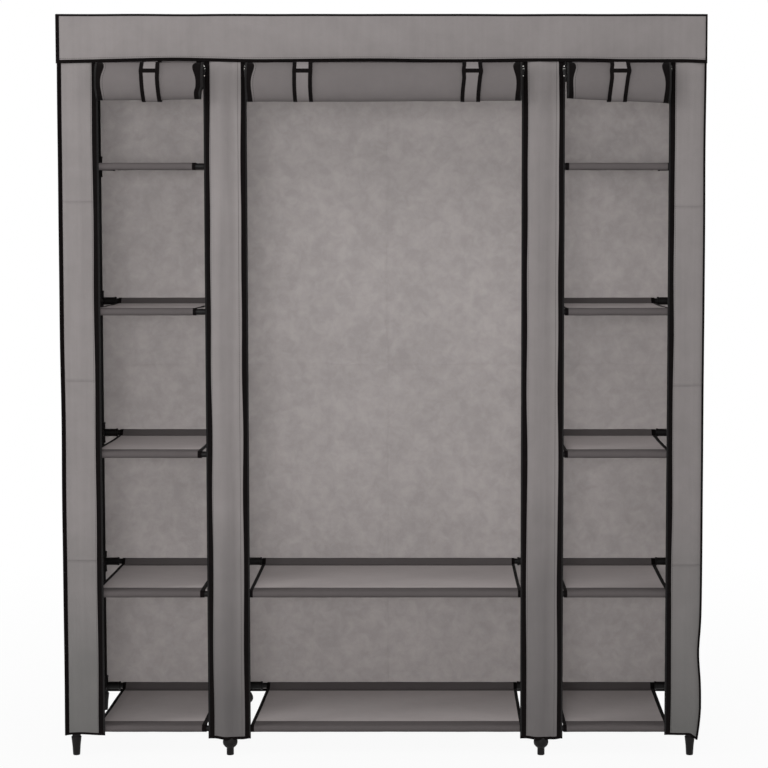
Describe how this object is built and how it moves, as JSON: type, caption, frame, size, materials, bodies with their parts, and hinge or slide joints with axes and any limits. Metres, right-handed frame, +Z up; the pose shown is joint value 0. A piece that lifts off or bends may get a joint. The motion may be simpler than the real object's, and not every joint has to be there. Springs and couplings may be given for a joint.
{
  "type": "portable fabric wardrobe",
  "caption": "Freestanding cloth wardrobe on a push-together tube frame: shelved side bays, a hanging bay, rolled-up zip doors tied by straps and a valance over the front.",
  "frame": {"origin": "on the floor, under the middle of the wardrobe's bounding box with its doors rolled up", "axes": "+Z up, -Y out of the open front, +X to the right of someone who faces the front"},
  "size_m": [1.5072, 0.507, 1.7393],
  "materials": {
    "frame_black": "satin black",
    "cover_cloth": "matte warm grey nonwoven cloth, black bindings",
    "panel_cloth": "matte mottled warm grey nonwoven cloth",
    "shelf_cloth": "matte dark grey nonwoven cloth",
    "door_cloth": "matte warm grey nonwoven cloth",
    "strap_cloth": "matte warm grey cloth, black bindings",
    "zip_black": "satin black"
  },
  "bodies": {
    "wardrobe": {"frame_side_left_outer": "frame_black", "frame_side_left_inner": "frame_black", "frame_side_right_inner": "frame_black", "frame_side_right_outer": "frame_black", "rail_left_1_front": "frame_black", "rail_left_1_back": "frame_black", "rail_left_2_front": "frame_black", "rail_left_2_back": "frame_black", "rail_left_3_front": "frame_black", "rail_left_3_back": "frame_black", "rail_left_4_front": "frame_black", "rail_left_4_back": "frame_black", "rail_left_5_front": "frame_black", "rail_left_5_back": "frame_black", "rail_middle_1_front": "frame_black", "rail_middle_1_back": "frame_black", "rail_middle_2_front": "frame_black", "rail_middle_2_back": "frame_black", "rail_right_1_front": "frame_black", "rail_right_1_back": "frame_black", "rail_right_2_front": "frame_black", "rail_right_2_back": "frame_black", "rail_right_3_front": "frame_black", "rail_right_3_back": "frame_black", "rail_right_4_front": "frame_black", "rail_right_4_back": "frame_black", "rail_right_5_front": "frame_black", "rail_right_5_back": "frame_black", "hanging_rail": "frame_black", "shelf_left_1": "shelf_cloth", "shelf_left_2": "shelf_cloth", "shelf_left_3": "shelf_cloth", "shelf_left_4": "shelf_cloth", "shelf_left_5": "shelf_cloth", "shelf_middle_1": "shelf_cloth", "shelf_middle_2": "shelf_cloth", "shelf_right_1": "shelf_cloth", "shelf_right_2": "shelf_cloth", "shelf_right_3": "shelf_cloth", "shelf_right_4": "shelf_cloth", "shelf_right_5": "shelf_cloth", "cover_side_left": "cover_cloth", "cover_side_right": "cover_cloth", "cover_strip_left": "cover_cloth", "cover_strip_right": "cover_cloth", "cover_top": "cover_cloth", "cover_back": "panel_cloth", "strap_left": "strap_cloth", "strap_middle_1": "strap_cloth", "strap_middle_2": "strap_cloth", "strap_right": "strap_cloth"},
    "door_left": {"door_roll_left": "door_cloth"},
    "door_middle": {"door_roll_middle": "door_cloth"},
    "door_right": {"door_roll_right": "door_cloth"},
    "zip_left_1": {"zip_slider_left_1": "zip_black"},
    "zip_left_2": {"zip_slider_left_2": "zip_black"},
    "zip_middle_1": {"zip_slider_middle_1": "zip_black"},
    "zip_middle_2": {"zip_slider_middle_2": "zip_black"},
    "zip_right_1": {"zip_slider_right_1": "zip_black"},
    "zip_right_2": {"zip_slider_right_2": "zip_black"}
  },
  "joints": [
    {"name": "door_left_drop", "type": "slide", "parent": "wardrobe", "child": "door_left", "axis": [0, 0, 1], "range_m": [-1.494, 0], "deforming": ["strap_left"]},
    {"name": "door_middle_drop", "type": "slide", "parent": "wardrobe", "child": "door_middle", "axis": [0, 0, 1], "range_m": [-1.494, 0], "deforming": ["strap_middle_1", "strap_middle_2"]},
    {"name": "door_right_drop", "type": "slide", "parent": "wardrobe", "child": "door_right", "axis": [0, 0, 1], "range_m": [-1.494, 0], "deforming": ["strap_right"]},
    {"name": "zip_left_1_run", "type": "slide", "parent": "wardrobe", "child": "zip_left_1", "axis": [0, 0, 1], "range_m": [-1.559, 0]},
    {"name": "zip_left_2_run", "type": "slide", "parent": "wardrobe", "child": "zip_left_2", "axis": [0, 0, 1], "range_m": [-1.559, 0]},
    {"name": "zip_middle_1_run", "type": "slide", "parent": "wardrobe", "child": "zip_middle_1", "axis": [0, 0, 1], "range_m": [-1.559, 0]},
    {"name": "zip_middle_2_run", "type": "slide", "parent": "wardrobe", "child": "zip_middle_2", "axis": [0, 0, 1], "range_m": [-1.559, 0]},
    {"name": "zip_right_1_run", "type": "slide", "parent": "wardrobe", "child": "zip_right_1", "axis": [0, 0, 1], "range_m": [-1.559, 0]},
    {"name": "zip_right_2_run", "type": "slide", "parent": "wardrobe", "child": "zip_right_2", "axis": [0, 0, 1], "range_m": [-1.559, 0]}
  ]
}
